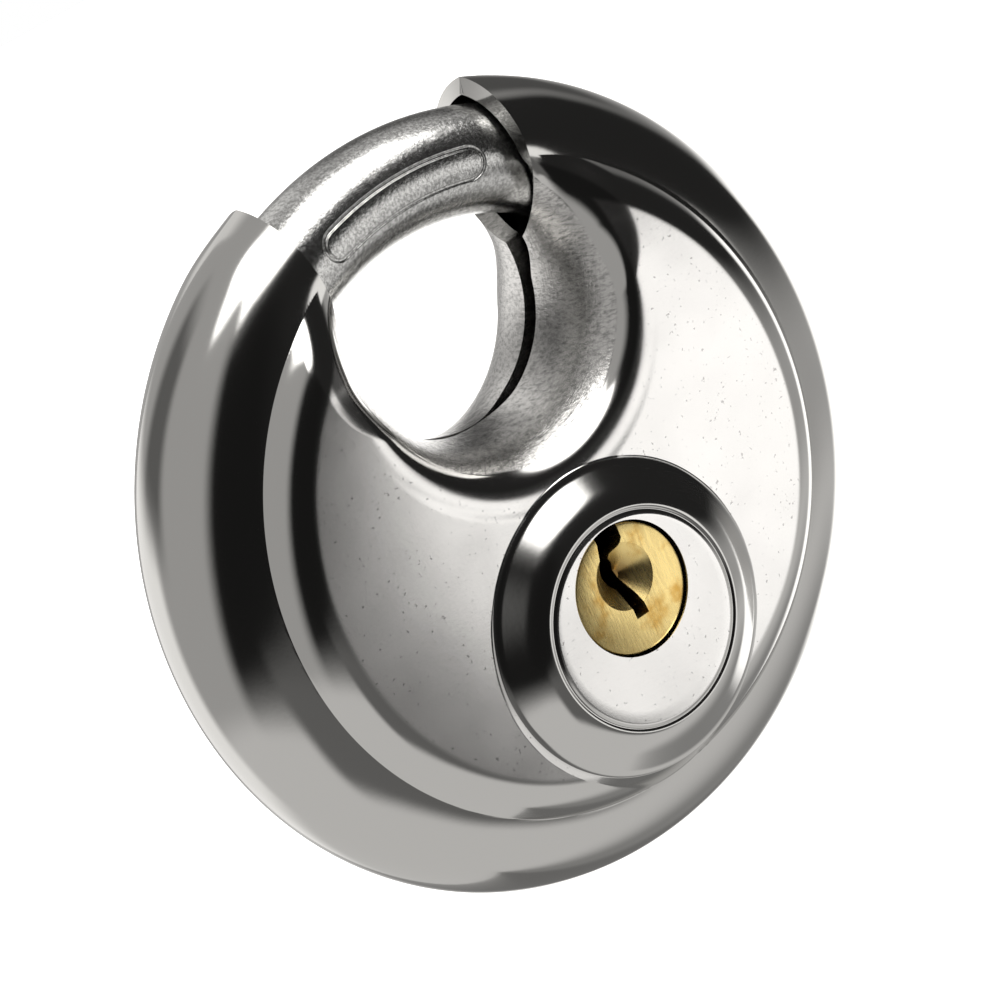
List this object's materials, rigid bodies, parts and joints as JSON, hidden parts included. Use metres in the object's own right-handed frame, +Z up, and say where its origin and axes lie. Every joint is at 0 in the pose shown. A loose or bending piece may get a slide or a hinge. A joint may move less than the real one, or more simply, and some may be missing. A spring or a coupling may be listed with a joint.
{
  "type": "disc padlock",
  "caption": "Round padlock with a shrouded curved shackle that swings across a hole in the disc's rim, driven by a keyed cylinder set in a raised boss.",
  "frame": {"origin": "where a staple bears on the inside of the closed shackle, at the top of the hole, on the mid-plane between the two shells", "axes": "+Z up through the shackle, front face and keyway towards -Y, +X to the right seen from the front"},
  "size_m": [0.07, 0.0235, 0.0677],
  "materials": {
    "polished_stainless": "mirror-polished rim, satin flat face",
    "hardened_steel": "satin, ground",
    "zinc_plated_steel": "zinc plated",
    "brass": "machined",
    "spring_steel": "drawn wire"
  },
  "bodies": {
    "case": {"front_shell": "polished_stainless", "back_shell": "polished_stainless", "guide_rail_left": "zinc_plated_steel", "guide_rail_right": "zinc_plated_steel", "cylinder_housing": "brass", "spring_cover": "brass", "housing_screw_1": "zinc_plated_steel", "housing_screw_2": "zinc_plated_steel", "weld_stud_1": "zinc_plated_steel", "weld_stud_2": "zinc_plated_steel", "anti_drill_plate": "hardened_steel", "pivot_post": "zinc_plated_steel", "pivot_spacer": "zinc_plated_steel", "pin_spring_1": "spring_steel", "pin_spring_2": "spring_steel", "pin_spring_3": "spring_steel", "pin_spring_4": "spring_steel", "pin_spring_5": "spring_steel"},
    "swinging_shackle": {"shackle": "hardened_steel", "carrier_plate": "zinc_plated_steel", "carrier_rivet_1": "hardened_steel", "carrier_rivet_2": "hardened_steel"},
    "turning_plug": {"plug": "brass", "cam_disc": "zinc_plated_steel", "crank_pin": "hardened_steel"},
    "driver_1": {"driver_pin_1": "hardened_steel"},
    "driver_2": {"driver_pin_2": "hardened_steel"},
    "driver_3": {"driver_pin_3": "hardened_steel"},
    "driver_4": {"driver_pin_4": "hardened_steel"},
    "driver_5": {"driver_pin_5": "hardened_steel"},
    "key_pin_body_1": {"key_pin_1": "brass"},
    "key_pin_body_2": {"key_pin_2": "brass"},
    "key_pin_body_3": {"key_pin_3": "brass"},
    "key_pin_body_4": {"key_pin_4": "brass"},
    "key_pin_body_5": {"key_pin_5": "brass"}
  },
  "joints": [
    {"name": "shackle_swing", "type": "hinge", "parent": "case", "child": "swinging_shackle", "pos_m": [0, 0, -0.0233], "axis": [0, -1, 0], "range_deg": [0, 61]},
    {"name": "plug_turn", "type": "hinge", "parent": "case", "child": "turning_plug", "pos_m": [0, 0, -0.03276], "axis": [0, 1, 0], "range_deg": [0, 90]},
    {"name": "driver_slide_1", "type": "slide", "parent": "case", "child": "driver_1", "axis": [0, 0, -1], "range_m": [0, 0.0009], "stiffness_N_per_m": 60, "springref_m": -0.0008, "deforming": ["pin_spring_1"]},
    {"name": "driver_slide_2", "type": "slide", "parent": "case", "child": "driver_2", "axis": [0, 0, -1], "range_m": [0, 0.0009], "stiffness_N_per_m": 60, "springref_m": -0.0008, "deforming": ["pin_spring_2"]},
    {"name": "driver_slide_3", "type": "slide", "parent": "case", "child": "driver_3", "axis": [0, 0, -1], "range_m": [0, 0.0009], "stiffness_N_per_m": 60, "springref_m": -0.0008, "deforming": ["pin_spring_3"]},
    {"name": "driver_slide_4", "type": "slide", "parent": "case", "child": "driver_4", "axis": [0, 0, -1], "range_m": [0, 0.0009], "stiffness_N_per_m": 60, "springref_m": -0.0008, "deforming": ["pin_spring_4"]},
    {"name": "driver_slide_5", "type": "slide", "parent": "case", "child": "driver_5", "axis": [0, 0, -1], "range_m": [0, 0.0009], "stiffness_N_per_m": 60, "springref_m": -0.0008, "deforming": ["pin_spring_5"]},
    {"name": "key_pin_slide_1", "type": "slide", "parent": "turning_plug", "child": "key_pin_body_1", "axis": [0, 0, 1], "range_m": [0, 0.0012]},
    {"name": "key_pin_slide_2", "type": "slide", "parent": "turning_plug", "child": "key_pin_body_2", "axis": [0, 0, 1], "range_m": [0, 0.0012]},
    {"name": "key_pin_slide_3", "type": "slide", "parent": "turning_plug", "child": "key_pin_body_3", "axis": [0, 0, 1], "range_m": [0, 0.0012]},
    {"name": "key_pin_slide_4", "type": "slide", "parent": "turning_plug", "child": "key_pin_body_4", "axis": [0, 0, 1], "range_m": [0, 0.0012]},
    {"name": "key_pin_slide_5", "type": "slide", "parent": "turning_plug", "child": "key_pin_body_5", "axis": [0, 0, 1], "range_m": [0, 0.0012]}
  ],
  "couplings": [
    {"joint": "shackle_swing", "follows": "plug_turn", "ratio": 0.6762}
  ]
}
